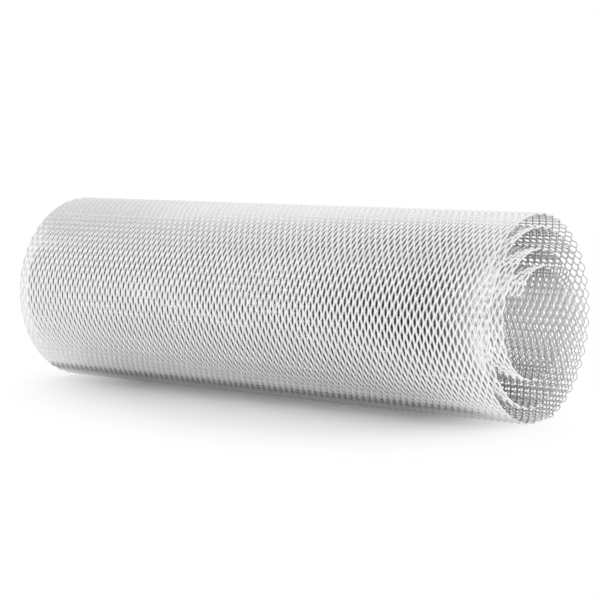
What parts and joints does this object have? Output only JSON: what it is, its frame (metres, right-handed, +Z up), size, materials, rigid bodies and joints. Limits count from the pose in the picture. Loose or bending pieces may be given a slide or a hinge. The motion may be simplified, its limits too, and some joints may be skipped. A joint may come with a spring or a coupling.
{
  "type": "rolled expanded aluminium car grille mesh sheet",
  "caption": "Loose roll of fine diamond-hole expanded aluminium mesh for car grilles, lying on its side, its turns open at both ends.",
  "frame": {"origin": "on the floor under the roll, at the middle of its bounding box", "axes": "+X along the roll's axis, towards the open end that the picture shows; +Y to the back, where the free outer edge comes down to the floor; +Z up"},
  "size_m": [0.33, 0.113, 0.1115],
  "materials": {
    "expanded_aluminium": "bare bright aluminium, satin, slit and stretched into raised diamonds"
  },
  "bodies": {
    "root": {"mesh_roll": "expanded_aluminium"}
  },
  "joints": []
}
